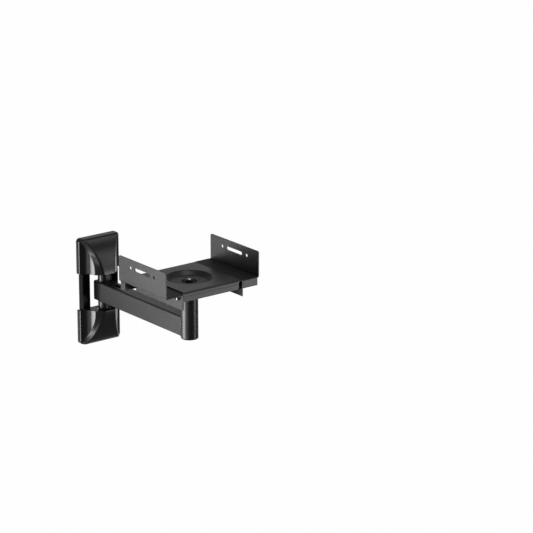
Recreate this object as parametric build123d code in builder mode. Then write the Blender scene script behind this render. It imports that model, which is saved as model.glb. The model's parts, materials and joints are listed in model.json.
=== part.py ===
from build123d import *
import os
from math import cos, radians, sin, sqrt

# Speaker wall bracket: a swing arm between a covered wall plate and a tilting, turning tray
# with two side clamps. Millimetres. The wall is the plane Y = 0, the arm reaches out along -Y,
# Z is up, and the origin lies on the wall, level with the middle of the arm.

# Clearances
RUN_GAP = 0.3
PIN_FIT = 0.06
SEAT_GAP = 0.1

# Wall plate, one folded sheet with two lugs bent out of its window
PLATE_W = 85.2
PLATE_H = 204.0
PLATE_T = 3.0
PLATE_CORNER_R = 6.0
FLANGE_T = 2.0
FLANGE_D = 13.3
FLANGE_D_COVERED = 8.0
FLANGE_DEEP_H = 72.0
WINDOW_W = 36.0
LUG_W = 34.0
LUG_INNER_Z = 52.0
LUG_NOSE = 13.0
WALL_HOLE_R = 3.5
WALL_HOLE_DX = 62.0
WALL_HOLE_DZ = 168.0

# Swing pivot
PIVOT_Y = -24.0
PIVOT_BOLT_R = 6.0
PIVOT_HEAD_AF = 19.0
PIVOT_HEAD_H = 7.5
PIVOT_NUT_H = 10.0
PIVOT_WASHER_R = 12.0
PIVOT_WASHER_T = 2.0
PIVOT_BOLT_TAIL = 2.0
SLEEVE_R = 11.4
SLEEVE_BORE_R = 8.0
BUSH_FLANGE_T = 1.5
BUSH_L = 18.0

# Arm and column
ARM_W = 30.0
ARM_H = 40.0
ARM_WALL = 2.0
ARM_CORNER_R = 3.0
ARM_BACK = -11.0
ARM_COPE = 10.0
ARM_CAP_T = 2.0
ARM_CAP_PLUG = 8.0
CABLE_SLOT_L = 24.0
CABLE_SLOT_W = 8.0
CABLE_SLOT_Y = -75.0
COLUMN_Y = -311.3
COLUMN_R = 17.0
COLUMN_WALL = 2.5
COLUMN_FOOT = -23.7
COLUMN_CAP_T = 2.4
COLUMN_CAP_PLUG = 10.0
COLUMN_CAP_CHAMFER = 1.2

# Tray, one folded and dished sheet
TRAY_TOP = 98.3
TRAY_W = 142.5
TRAY_D = 149.7
SHEET = 2.0
BEND_R = 3.5
LIP_H = 17.8
SIDE_H = 33.2
DISH_RIM_R = 45.5
DISH_FLOOR_R = 35.0
DISH_DEPTH = 7.5
DISH_BEND_R = 2.4
CUP_RIM_R = 15.5
CUP_SPHERE_R = 22.0
TILT_LIMIT = 8.0
SLOT_INSET = 3.4
SLOT_WEB = 3.0
NOTCH_W = 9.5
NOTCH_INSET = 2.0
LOCK_HOLE_R = 1.5
LOCK_HOLE_PITCH_R = 21.0
LOCK_HOLE_ANGLE = -13.0

# Tilt head
TILT_BOLT_R = 4.0
TILT_HEAD_AF = 13.0
TILT_HEAD_H = 5.3
TILT_NUT_H = 5.5
TILT_BOLT_TAIL = 1.6
SEAT_COLLAR_H = 8.0
SEAT_PLUG_H = 18.0
SEAT_TOP_DROP = 3.2
DOME_WASHER_R = 13.4
DOME_WASHER_T = 1.8
DOME_PAD_MARGIN = 0.3
DOME_NOTCH_R = 2.6
DOME_NOTCHES = 6

# Side clamps, two identical folded stampings turned half a turn apart
CLAMP_OUTER_X = 112.0
CLAMP_L = 151.7
CLAMP_SHIFT_Y = 3.6
CLAMP_RISE = 47.5
CLAMP_CORNER_R = 4.0
CLAMP_BEND_R = 2.0
CLAMP_LIP_H = 15.6
CLAMP_LIP_TO_X = 105.5
CLAMP_LIP_GAP = 1.6
CLAMP_SLOT_GAP = 0.5
CLAMP_LIP_OUT = 1.3
CLAMP_BASE_IN_X = 56.0
RAIL_W = 14.5
RAIL_DROP = 16.0
RAIL_T = 1.5
RAIL_TO_X = -46.0
RAIL_GAP = 0.5
PAD_HOLE_R = 3.5
PAD_HOLE_DY = 77.0
PAD_SLOT_L = 49.0
PAD_HOLE_RISE = 30.7

# Clamp adjusting screws
SCREW_R = 2.5
SCREW_L = 72.0
SCREW_HEAD_R = 4.25
SCREW_HEAD_H = 5.0
SCREW_SOCKET_AF = 4.0
SCREW_SOCKET_D = 2.5
SCREW_WASHER_R = 5.2
SCREW_WASHER_T = 1.2
SCREW_SIDE_IN = 12.2
SCREW_DROP = 11.6
RAIL_NUT_AF = 8.0
RAIL_NUT_T = 4.0

# Moulded covers
COVER_W = 95.6
COVER_NEAR = 37.3
COVER_FAR = 109.3
COVER_WALL = 2.2
COVER_SIDE_D = 11.2
COVER_EDGE_R = 2.2
COVER_CORNER_R = 7.0
SCOOP_R = 26.0
SCOOP_OFF_X = 4.8
SCOOP_D = 36.2
FRONT_SLOPE = 0.95
COVER_FOOT_D = 8.0
COVER_FRONT_INSET = 0.5
COVER_STEEP = 0.35
# Share of the height, then how far in from the side the front edge and the scoop's edge stand there
COVER_STATIONS = (
    (0.0, 35.4, 21.1),
    (0.2, 32.8, 20.9),
    (0.4, 28.9, 19.8),
    (0.58, 23.8, 17.1),
    (0.75, 18.2, 11.8),
    (0.88, 12.2, 5.6),
    (1.0, 3.6, 0.4),
)
COVER_RIB_Z = (60.0, 84.0)
COVER_SLEEVE_GAP = 1.8
COVER_PLATE_GAP = 0.6
COVER_RIB_T = 2.0

os.makedirs("parts", exist_ok=True)

# Derived levels of the tray and the tilt head
floor_top = TRAY_TOP - DISH_DEPTH
floor_under = floor_top - SHEET
tilt_z = floor_top + sqrt(CUP_SPHERE_R**2 - CUP_RIM_R**2)
cup_outer_r = CUP_SPHERE_R + SHEET
seat_sphere_r = cup_outer_r + RUN_GAP
seat_top = floor_under - SEAT_TOP_DROP
collar_foot = seat_top - SEAT_COLLAR_H
column_top = collar_foot - RUN_GAP
plug_foot = column_top - SEAT_PLUG_H
cup_hole_r = TILT_BOLT_R + cup_outer_r * sin(radians(TILT_LIMIT)) + RUN_GAP
dome_under_r = CUP_SPHERE_R - RUN_GAP
dome_top_r = dome_under_r - DOME_WASHER_T
dome_pad_r = TILT_HEAD_AF / sqrt(3) + DOME_PAD_MARGIN
tilt_nut_seat = tilt_z - sqrt(dome_top_r**2 - dome_pad_r**2)
clamp_top = TRAY_TOP - SHEET - RUN_GAP
slot_foot = clamp_top - SHEET - RUN_GAP
screw_z = TRAY_TOP - SCREW_DROP
tray_front = COLUMN_Y - TRAY_D / 2
tray_back = COLUMN_Y + TRAY_D / 2
column_bore_r = COLUMN_R - COLUMN_WALL
lug_outer_z = LUG_INNER_Z + PLATE_T
half_turn = Axis((0, COLUMN_Y, 0), (0, 0, 1))


def box(x0, x1, y0, y1, z0, z1, mode=Mode.ADD):
    """Add or cut the box between two corners in the open part."""
    with Locations(((x0 + x1) / 2, (y0 + y1) / 2, (z0 + z1) / 2)):
        Box(x1 - x0, y1 - y0, z1 - z0, mode=mode)


def rod(centre_x, centre_y, z0, z1, radius, mode=Mode.ADD):
    """Add or cut an upright round bar in the open part."""
    with Locations((centre_x, centre_y, (z0 + z1) / 2)):
        Cylinder(radius, z1 - z0, mode=mode)


def hexagon(centre_x, centre_y, z0, z1, across_flats):
    """Add an upright hexagonal bar in the open part."""
    with BuildSketch(Plane.XY.offset(z0)) as outline:
        with Locations((centre_x, centre_y)):
            RegularPolygon(across_flats / 2, 6, major_radius=False)
    extrude(outline.sketch, amount=z1 - z0)


def save(piece, name):
    """Label a finished piece and write its file."""
    piece.part.label = name
    export_step(piece.part, f"parts/{name}.step")


# Wall plate: web with a window, side flanges that stand deeper between the covers,
# and the window's own metal folded forward into the two pivot lugs
with BuildPart() as wall_plate:
    with BuildSketch(Plane.XZ):
        RectangleRounded(PLATE_W, PLATE_H, PLATE_CORNER_R)
        Rectangle(WINDOW_W, 2 * LUG_INNER_Z, mode=Mode.SUBTRACT)
        with GridLocations(WALL_HOLE_DX, WALL_HOLE_DZ, 2, 2):
            Circle(WALL_HOLE_R, mode=Mode.SUBTRACT)
    extrude(amount=PLATE_T)
    for side in (-1, 1):
        with BuildSketch(Plane.YZ.offset(side * PLATE_W / 2)) as flange_outline:
            with BuildLine():
                half_h = PLATE_H / 2 - PLATE_CORNER_R
                half_deep = FLANGE_DEEP_H / 2
                step = FLANGE_D - FLANGE_D_COVERED
                Polyline(
                    (0, -half_h),
                    (-FLANGE_D_COVERED, -half_h + step),
                    (-FLANGE_D_COVERED, -half_deep),
                    (-FLANGE_D, -half_deep),
                    (-FLANGE_D, half_deep),
                    (-FLANGE_D_COVERED, half_deep),
                    (-FLANGE_D_COVERED, half_h - step),
                    (0, half_h),
                    close=True,
                )
            make_face()
        extrude(amount=-side * FLANGE_T)
    for side in (-1, 1):
        lug_foot = LUG_INNER_Z if side > 0 else -lug_outer_z
        with BuildSketch(Plane.XY.offset(lug_foot)):
            with Locations((0, PIVOT_Y / 2)):
                Rectangle(LUG_W, -PIVOT_Y)
            with Locations((0, PIVOT_Y)):
                Circle(LUG_W / 2)
            with Locations((0, PIVOT_Y - LUG_NOSE - LUG_W / 2)):
                Rectangle(LUG_W, LUG_W, mode=Mode.SUBTRACT)
            with Locations((0, PIVOT_Y)):
                Circle(PIVOT_BOLT_R + SEAT_GAP, mode=Mode.SUBTRACT)
        extrude(amount=PLATE_T)
save(wall_plate, "wall_plate")

# Swing pivot hardware
washer_foot = lug_outer_z + PIVOT_WASHER_T
with BuildPart() as pivot_bolt:
    hexagon(0, PIVOT_Y, washer_foot, washer_foot + PIVOT_HEAD_H, PIVOT_HEAD_AF)
    rod(0, PIVOT_Y, -washer_foot - PIVOT_NUT_H - PIVOT_BOLT_TAIL, washer_foot, PIVOT_BOLT_R)
    chamfer(pivot_bolt.edges().group_by(Axis.Z)[0], 1.0)
save(pivot_bolt, "pivot_bolt")

for name, washer_z in (("pivot_washer_upper", lug_outer_z), ("pivot_washer_lower", -washer_foot)):
    with BuildPart() as pivot_washer:
        rod(0, PIVOT_Y, washer_z, washer_z + PIVOT_WASHER_T, PIVOT_WASHER_R)
        rod(0, PIVOT_Y, washer_z, washer_z + PIVOT_WASHER_T, PIVOT_BOLT_R + SEAT_GAP, Mode.SUBTRACT)
    save(pivot_washer, name)

with BuildPart() as pivot_nut:
    hexagon(0, PIVOT_Y, -washer_foot - PIVOT_NUT_H, -washer_foot, PIVOT_HEAD_AF)
    rod(0, PIVOT_Y, -washer_foot - PIVOT_NUT_H, -washer_foot, PIVOT_BOLT_R, Mode.SUBTRACT)
save(pivot_nut, "pivot_nut")

# Pivot sleeve, welded through the arm, with a flanged bush in each end
sleeve_half = LUG_INNER_Z - RUN_GAP - BUSH_FLANGE_T
with BuildPart() as pivot_sleeve:
    rod(0, PIVOT_Y, -sleeve_half, sleeve_half, SLEEVE_R)
    rod(0, PIVOT_Y, -sleeve_half, sleeve_half, SLEEVE_BORE_R, Mode.SUBTRACT)
save(pivot_sleeve, "pivot_sleeve")

for name, side in (("bush_upper", 1), ("bush_lower", -1)):
    with BuildPart() as bush:
        with BuildSketch(Plane.XY.offset(side * sleeve_half)):
            with Locations((0, PIVOT_Y)):
                Circle(SLEEVE_R)
        extrude(amount=side * BUSH_FLANGE_T)
        with BuildSketch(Plane.XY.offset(side * sleeve_half)):
            with Locations((0, PIVOT_Y)):
                Circle(SLEEVE_BORE_R)
        extrude(amount=-side * BUSH_L)
        rod(0, PIVOT_Y, -LUG_INNER_Z, LUG_INNER_Z, PIVOT_BOLT_R + PIN_FIT, Mode.SUBTRACT)
    save(bush, name)

# Arm: rectangular tube, drilled for the sleeve and cut to the column
with BuildPart() as arm_tube:
    tube_back = ARM_BACK - ARM_CAP_T
    tube_front = COLUMN_Y + COLUMN_R - ARM_COPE
    with BuildSketch(Plane.XZ.offset(-tube_back)):
        RectangleRounded(ARM_W, ARM_H, ARM_CORNER_R)
        bore_w = ARM_W - 2 * ARM_WALL
        bore_h = ARM_H - 2 * ARM_WALL
        RectangleRounded(bore_w, bore_h, ARM_CORNER_R - ARM_WALL, mode=Mode.SUBTRACT)
    extrude(amount=tube_back - tube_front)
    rod(0, PIVOT_Y, -ARM_H, ARM_H, SLEEVE_R, Mode.SUBTRACT)
    rod(0, COLUMN_Y, -ARM_H, ARM_H, COLUMN_R, Mode.SUBTRACT)
    with BuildSketch(Plane.XY.offset(ARM_H / 2)):
        with Locations((0, CABLE_SLOT_Y)):
            SlotOverall(CABLE_SLOT_L, CABLE_SLOT_W, rotation=90)
    extrude(amount=-ARM_WALL, mode=Mode.SUBTRACT)
save(arm_tube, "arm_tube")

with BuildPart() as arm_end_cap:
    with BuildSketch(Plane.XZ.offset(-ARM_BACK)):
        RectangleRounded(ARM_W, ARM_H, ARM_CORNER_R)
    extrude(amount=ARM_CAP_T)
    chamfer(arm_end_cap.faces().sort_by(Axis.Y)[-1].edges(), 0.6)
    with BuildSketch(Plane.XZ.offset(-ARM_BACK + ARM_CAP_T)):
        plug_w = bore_w - 2 * SEAT_GAP
        plug_h = bore_h - 2 * SEAT_GAP
        RectangleRounded(plug_w, plug_h, ARM_CORNER_R - ARM_WALL)
        Rectangle(plug_w - 2 * ARM_CAP_T, plug_h - 2 * ARM_CAP_T, mode=Mode.SUBTRACT)
    extrude(amount=ARM_CAP_PLUG)
    rod(0, PIVOT_Y, -ARM_H / 2, ARM_H / 2, SLEEVE_R + RUN_GAP, Mode.SUBTRACT)
save(arm_end_cap, "arm_end_cap")

# Column: round tube with a plastic foot cap
tube_foot = COLUMN_FOOT + COLUMN_CAP_T
with BuildPart() as column_tube:
    rod(0, COLUMN_Y, tube_foot, column_top, COLUMN_R)
    rod(0, COLUMN_Y, tube_foot, column_top, column_bore_r, Mode.SUBTRACT)
save(column_tube, "column_tube")

with BuildPart() as column_end_cap:
    rod(0, COLUMN_Y, COLUMN_FOOT, tube_foot, COLUMN_R)
    chamfer(column_end_cap.edges().group_by(Axis.Z)[0], COLUMN_CAP_CHAMFER)
    rod(0, COLUMN_Y, tube_foot, tube_foot + COLUMN_CAP_PLUG, column_bore_r - SEAT_GAP)
    rod(0, COLUMN_Y, tube_foot, tube_foot + COLUMN_CAP_PLUG, column_bore_r - COLUMN_CAP_T, Mode.SUBTRACT)
save(column_end_cap, "column_end_cap")

# Swivel seat: turned plug in the column with a spherical cup on top
with BuildPart() as swivel_seat:
    rod(0, COLUMN_Y, collar_foot, seat_top, COLUMN_R)
    chamfer(swivel_seat.edges().group_by(Axis.Z)[-1], 0.8)
    rod(0, COLUMN_Y, plug_foot, collar_foot, column_bore_r - PIN_FIT)
    with Locations((0, COLUMN_Y, tilt_z)):
        Sphere(seat_sphere_r, mode=Mode.SUBTRACT)
    rod(0, COLUMN_Y, plug_foot, seat_top, TILT_BOLT_R + SEAT_GAP, Mode.SUBTRACT)
save(swivel_seat, "swivel_seat")

tilt_bolt_end = tilt_nut_seat + TILT_NUT_H + TILT_BOLT_TAIL
with BuildPart() as tilt_bolt:
    rod(0, COLUMN_Y, plug_foot, tilt_bolt_end, TILT_BOLT_R)
    chamfer(tilt_bolt.edges().group_by(Axis.Z)[-1], 0.8)
    hexagon(0, COLUMN_Y, plug_foot - TILT_HEAD_H, plug_foot, TILT_HEAD_AF)
save(tilt_bolt, "tilt_bolt")

# Domed washer: a shell of the same sphere as the tray's cup, notched around its rim
with BuildPart() as dome_washer:
    with BuildSketch(Plane.XZ.offset(-COLUMN_Y)) as dome_half:
        with Locations((0, tilt_z)):
            Circle(dome_under_r)
            Circle(dome_top_r, mode=Mode.SUBTRACT)
        with Locations((0, (tilt_nut_seat + tilt_z - dome_top_r) / 2)):
            Rectangle(2 * dome_pad_r, tilt_nut_seat - tilt_z + dome_top_r)
        with Locations((DOME_WASHER_R / 2, tilt_z - CUP_SPHERE_R / 2)):
            Rectangle(DOME_WASHER_R, CUP_SPHERE_R, mode=Mode.INTERSECT)
    revolve(axis=Axis((0, COLUMN_Y, 0), (0, 0, 1)))
    rod(0, COLUMN_Y, tilt_z - CUP_SPHERE_R, tilt_z, TILT_BOLT_R + SEAT_GAP, Mode.SUBTRACT)
    with BuildSketch(Plane.XY.offset(tilt_z - CUP_SPHERE_R)):
        with Locations((0, COLUMN_Y)):
            with PolarLocations(DOME_WASHER_R, DOME_NOTCHES, start_angle=180 / DOME_NOTCHES):
                Circle(DOME_NOTCH_R)
    extrude(amount=CUP_SPHERE_R, mode=Mode.SUBTRACT)
save(dome_washer, "dome_washer")

with BuildPart() as tilt_nut:
    hexagon(0, COLUMN_Y, tilt_nut_seat, tilt_nut_seat + TILT_NUT_H, TILT_HEAD_AF)
    rod(0, COLUMN_Y, tilt_nut_seat, tilt_nut_seat + TILT_NUT_H, TILT_BOLT_R, Mode.SUBTRACT)
save(tilt_nut, "tilt_nut")

# Tray: folded pan with a pressed dish, slots for the clamps and a relief notch in each lip
with BuildPart() as tray_hollow:
    box(-TRAY_W / 2 + SHEET, TRAY_W / 2 - SHEET, tray_front + SHEET, tray_back - SHEET,
        TRAY_TOP - SIDE_H - SHEET, TRAY_TOP - SHEET)
    fillet(tray_hollow.faces().sort_by(Axis.Z)[-1].edges(), BEND_R - SHEET)

with BuildPart() as tray:
    box(-TRAY_W / 2, TRAY_W / 2, tray_front, tray_back, TRAY_TOP - SIDE_H, TRAY_TOP)
    fillet(tray.faces().sort_by(Axis.Z)[-1].edges(), BEND_R)
    add(tray_hollow.part, mode=Mode.SUBTRACT)
    for end_y in (tray_front, tray_back):
        lip_half = TRAY_W / 2 - BEND_R
        box(-lip_half, lip_half, end_y - BEND_R, end_y + BEND_R,
            TRAY_TOP - SIDE_H, TRAY_TOP - LIP_H, Mode.SUBTRACT)
    for side in (-1, 1):
        lip_y = tray_front if side > 0 else tray_back
        notch_mid = side * (TRAY_W / 2 - NOTCH_INSET - NOTCH_W / 2)
        box(notch_mid - NOTCH_W / 2, notch_mid + NOTCH_W / 2, lip_y - SHEET * 1.2, lip_y + SHEET * 1.2,
            TRAY_TOP - SIDE_H, TRAY_TOP - SHEET, Mode.SUBTRACT)
        slot_mid = side * (TRAY_W / 2 - SLOT_INSET / 2)
        box(slot_mid - SLOT_INSET, slot_mid + SLOT_INSET, tray_front + SLOT_WEB, tray_back - SLOT_WEB,
            slot_foot, TRAY_TOP + SHEET, Mode.SUBTRACT)
        rail_y = COLUMN_Y + side * (SCREW_SIDE_IN - TRAY_D / 2)
        rail_half = RAIL_W / 2 + RAIL_GAP
        box(slot_mid - SLOT_INSET, slot_mid + SLOT_INSET, rail_y - rail_half, rail_y + rail_half,
            clamp_top - SHEET - RAIL_DROP - RAIL_GAP, TRAY_TOP - SHEET, Mode.SUBTRACT)
    rod(0, COLUMN_Y, floor_under, TRAY_TOP, DISH_RIM_R + 3 * BEND_R, Mode.SUBTRACT)
    with BuildSketch(Plane.XZ.offset(-COLUMN_Y)) as dish_half:
        with Locations((0, tilt_z)):
            Circle(cup_outer_r)
        with Locations(((cup_hole_r + cup_outer_r) / 2, floor_top - cup_outer_r)):
            Rectangle(cup_outer_r - cup_hole_r, 2 * cup_outer_r, mode=Mode.INTERSECT)
        with BuildLine():
            Polyline(
                (CUP_RIM_R - 1, floor_top),
                (DISH_FLOOR_R, floor_top),
                (DISH_RIM_R, TRAY_TOP),
                (DISH_RIM_R + 3 * BEND_R, TRAY_TOP),
                (DISH_RIM_R + 3 * BEND_R, TRAY_TOP - SHEET),
                (DISH_RIM_R + SHEET / 2, TRAY_TOP - SHEET),
                (DISH_FLOOR_R + SHEET / 2, floor_under),
                (CUP_RIM_R - 1, floor_under),
                close=True,
            )
        make_face()
        bends = dish_half.vertices().filter_by_position(Axis.X, DISH_FLOOR_R - 1, DISH_RIM_R + SHEET)
        fillet([bends.sort_by(Axis.Y)[0], bends.sort_by(Axis.Y)[-1]], DISH_BEND_R + SHEET)
        rim_x = DISH_RIM_R + SHEET / 2
        rim_z = TRAY_TOP - SHEET
        bends = dish_half.vertices().filter_by_position(Axis.X, rim_x - 0.01, rim_x + 0.01)
        fillet(bends.filter_by_position(Axis.Y, rim_z - 0.01, rim_z + 0.01), DISH_BEND_R)
        bends = dish_half.vertices().filter_by_position(Axis.X, DISH_FLOOR_R - 0.01, DISH_FLOOR_R + 0.01)
        fillet(bends, DISH_BEND_R)
        with Locations((0, tilt_z)):
            Circle(CUP_SPHERE_R, mode=Mode.SUBTRACT)
    revolve(axis=Axis((0, COLUMN_Y, 0), (0, 0, 1)))
    lock_x = LOCK_HOLE_PITCH_R * cos(radians(LOCK_HOLE_ANGLE))
    lock_y = COLUMN_Y + LOCK_HOLE_PITCH_R * sin(radians(LOCK_HOLE_ANGLE))
    rod(lock_x, lock_y, floor_under, floor_top, LOCK_HOLE_R, Mode.SUBTRACT)
    for turn in (0, 180):
        with Locations(Plane((0, COLUMN_Y, 0), z_dir=(0, 0, 1)).rotated((0, 0, turn))):
            with Locations(Location((-TRAY_W / 2, SCREW_SIDE_IN - TRAY_D / 2, screw_z), (0, 90, 0))):
                Cylinder(SCREW_R + SEAT_GAP, 4 * SHEET, mode=Mode.SUBTRACT)
save(tray, "tray")

# Right clamp: upright pad plate with a front lip, and a base that slides under the tray's sheet
# through the slot in its side fold
clamp_front = COLUMN_Y + CLAMP_SHIFT_Y - CLAMP_L / 2
clamp_back = COLUMN_Y + CLAMP_SHIFT_Y + CLAMP_L / 2
clamp_foot = clamp_top - SHEET
lip_front = clamp_front - CLAMP_LIP_OUT
step_x = TRAY_W / 2 + CLAMP_LIP_GAP
inner_front = tray_front + SLOT_WEB + CLAMP_SLOT_GAP
inner_back = tray_back - SLOT_WEB - CLAMP_SLOT_GAP
screw_y = tray_front + SCREW_SIDE_IN
with BuildPart() as right_clamp:
    with BuildSketch(Plane.XZ.offset(-clamp_back)) as pad_profile:
        with BuildLine():
            Polyline(
                (step_x, clamp_foot),
                (CLAMP_OUTER_X, clamp_foot),
                (CLAMP_OUTER_X, TRAY_TOP + CLAMP_RISE),
                (CLAMP_OUTER_X - SHEET, TRAY_TOP + CLAMP_RISE),
                (CLAMP_OUTER_X - SHEET, clamp_top),
                (step_x, clamp_top),
                close=True,
            )
        make_face()
        elbow = pad_profile.vertices().filter_by_position(Axis.Y, clamp_foot - 0.01, clamp_top + 0.01)
        fillet(elbow.sort_by(Axis.X)[-1], CLAMP_BEND_R + SHEET)
        fillet(elbow.sort_by(Axis.X)[-2], CLAMP_BEND_R)
    extrude(amount=CLAMP_L)
    crown = right_clamp.faces().sort_by(Axis.Z)[-1].edges().filter_by(Axis.X)
    fillet(crown, CLAMP_CORNER_R)
    box(step_x, CLAMP_LIP_TO_X, lip_front, clamp_front + SHEET, clamp_foot, clamp_top)
    box(step_x, CLAMP_LIP_TO_X, lip_front, lip_front + SHEET, clamp_top - CLAMP_LIP_H, clamp_top)
    lip_bend = right_clamp.edges().filter_by(Axis.X)
    lip_bend = lip_bend.filter_by_position(Axis.Z, clamp_top - 0.01, clamp_top + 0.01)
    fillet(lip_bend.filter_by_position(Axis.Y, lip_front - 0.01, lip_front + 0.01), CLAMP_BEND_R)
    box(CLAMP_BASE_IN_X, step_x, inner_front, inner_back, clamp_foot, clamp_top)
    with BuildSketch(Plane.YZ.offset(CLAMP_OUTER_X)):
        with Locations((COLUMN_Y + CLAMP_SHIFT_Y, TRAY_TOP + PAD_HOLE_RISE)):
            SlotOverall(PAD_SLOT_L, 2 * PAD_HOLE_R)
            with Locations((-PAD_HOLE_DY / 2, 0), (PAD_HOLE_DY / 2, 0)):
                Circle(PAD_HOLE_R)
    extrude(amount=-2 * SHEET, mode=Mode.SUBTRACT)
save(right_clamp, "right_clamp")

# Rail under the right clamp's base: an open channel that runs through the tray's side fold,
# closed at both ends, with the nut of the adjusting screw behind its inner end
rail_foot = clamp_foot - RAIL_DROP
rail_out = CLAMP_OUTER_X - SHEET
with BuildPart() as right_rail:
    box(RAIL_TO_X, rail_out, screw_y - RAIL_W / 2, screw_y + RAIL_W / 2, rail_foot, clamp_foot)
    fillet(right_rail.edges().filter_by(Axis.X).group_by(Axis.Z)[0], RAIL_T)
    bore_half = RAIL_W / 2 - RAIL_T
    box(RAIL_TO_X + RAIL_T, rail_out - RAIL_T, screw_y - bore_half, screw_y + bore_half,
        rail_foot + RAIL_T, clamp_foot, Mode.SUBTRACT)
    with Locations(Location((RAIL_TO_X, screw_y, screw_z), (0, 90, 0))):
        Cylinder(SCREW_R + RUN_GAP, 4 * RAIL_T, mode=Mode.SUBTRACT)
save(right_rail, "right_rail")

with BuildPart() as right_nut:
    with BuildSketch(Plane.YZ.offset(RAIL_TO_X + RAIL_T)) as nut_outline:
        with Locations((screw_y, screw_z)):
            RegularPolygon(RAIL_NUT_AF / 2, 6, major_radius=False)
            Circle(SCREW_R + PIN_FIT, mode=Mode.SUBTRACT)
    extrude(amount=RAIL_NUT_T)
save(right_nut, "right_nut")

# Adjusting screw of the right clamp, headed at the tray's left side
flange_out = -TRAY_W / 2
with BuildPart() as right_screw_washer:
    with BuildSketch(Plane.YZ.offset(flange_out)) as washer_outline:
        with Locations((screw_y, screw_z)):
            Circle(SCREW_WASHER_R)
            Circle(SCREW_R + SEAT_GAP, mode=Mode.SUBTRACT)
    extrude(amount=-SCREW_WASHER_T)
save(right_screw_washer, "right_screw_washer")

head_seat = flange_out - SCREW_WASHER_T
with BuildPart() as right_screw:
    with BuildSketch(Plane.YZ.offset(head_seat)) as shank_outline:
        with Locations((screw_y, screw_z)):
            Circle(SCREW_R)
    extrude(amount=SCREW_L)
    with BuildSketch(Plane.YZ.offset(head_seat)) as head_outline:
        with Locations((screw_y, screw_z)):
            Circle(SCREW_HEAD_R)
    extrude(amount=-SCREW_HEAD_H)
    fillet(right_screw.faces().sort_by(Axis.X)[0].edges(), SCREW_HEAD_R * 0.45)
    with BuildSketch(Plane.YZ.offset(head_seat - SCREW_HEAD_H)) as socket_outline:
        with Locations((screw_y, screw_z)):
            RegularPolygon(SCREW_SOCKET_AF / 2, 6, major_radius=False)
    extrude(amount=SCREW_SOCKET_D, mode=Mode.SUBTRACT)
save(right_screw, "right_screw")

# Left clamp set: the right one turned half a turn about the column
for name, source in (
    ("left_clamp", right_clamp),
    ("left_rail", right_rail),
    ("left_nut", right_nut),
    ("left_screw_washer", right_screw_washer),
    ("left_screw", right_screw),
):
    with BuildPart() as turned:
        add(source.part.rotate(half_turn, 180))
    save(turned, name)

# Moulded covers: a shallow slab with a lofted front raised on it, and an upright scoop cut
# from each side, so that two creases run up and outward to the far corners
cover_half = COVER_W / 2


def front_section(height, inset_front, inset_scoop, wall, back_off):
    """Draw one level section of a cover's raised front, less a wall thickness."""
    front_x = cover_half - inset_front - wall / 2
    front_d = COVER_SIDE_D + inset_front * FRONT_SLOPE - back_off
    scoop_x = cover_half - inset_scoop
    scoop_d = SCOOP_D - sqrt(SCOOP_R**2 - (cover_half + SCOOP_OFF_X - scoop_x) ** 2) - back_off
    reach = (front_d - COVER_FOOT_D + wall) / (front_d - scoop_d)
    foot_x = front_x + (scoop_x - wall / 2 - front_x) * reach
    with BuildSketch(Plane.XY.offset(height)) as section:
        with BuildLine():
            Polyline(
                (-foot_x, 1),
                (-foot_x, -COVER_FOOT_D + wall),
                (-front_x, -front_d),
                (front_x, -front_d),
                (foot_x, -COVER_FOOT_D + wall),
                (foot_x, 1),
                close=True,
            )
        make_face()
    return section.sketch


def front_sections(height_from, height_to, wall):
    """All level sections of the raised front, of its outer face or a wall thickness inside it."""
    return [
        front_section(height_from + (height_to - height_from) * share, inset_front, inset_scoop, wall,
                      wall * (1 + COVER_STEEP * share))
        for share, inset_front, inset_scoop in COVER_STATIONS
    ]


with BuildPart() as cover_core:
    core_half = cover_half - COVER_WALL
    core_near = COVER_NEAR + COVER_WALL
    core_far = COVER_FAR - COVER_WALL
    box(-core_half, core_half, -COVER_SIDE_D + COVER_WALL, 1, core_near, core_far)
    loft(front_sections(core_near, core_far, COVER_WALL))
    for side in (-1, 1):
        scoop_x = side * (cover_half + SCOOP_OFF_X)
        rod(scoop_x, -SCOOP_D, COVER_NEAR, COVER_FAR, SCOOP_R + COVER_WALL, Mode.SUBTRACT)
    with BuildSketch(Plane.XZ.offset(-1)) as core_outline:
        with Locations((0, (core_far + core_near) / 2)):
            RectangleRounded(2 * core_half, core_far - core_near, COVER_CORNER_R - COVER_WALL)
    extrude(amount=COVER_W, mode=Mode.INTERSECT)

with BuildPart() as cover_front:
    loft(front_sections(COVER_NEAR, COVER_FAR, 0.0))
    for side in (-1, 1):
        scoop_x = side * (cover_half + SCOOP_OFF_X)
        rod(scoop_x, -SCOOP_D, COVER_NEAR, COVER_FAR, SCOOP_R, Mode.SUBTRACT)
    with BuildSketch(Plane.XZ) as outline:
        with Locations((0, (COVER_FAR + COVER_NEAR - COVER_CORNER_R) / 2)):
            front_h = COVER_FAR - COVER_NEAR + COVER_CORNER_R
            RectangleRounded(COVER_W - 2 * COVER_FRONT_INSET, front_h, COVER_CORNER_R)
    extrude(amount=COVER_W, mode=Mode.INTERSECT)

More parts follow.
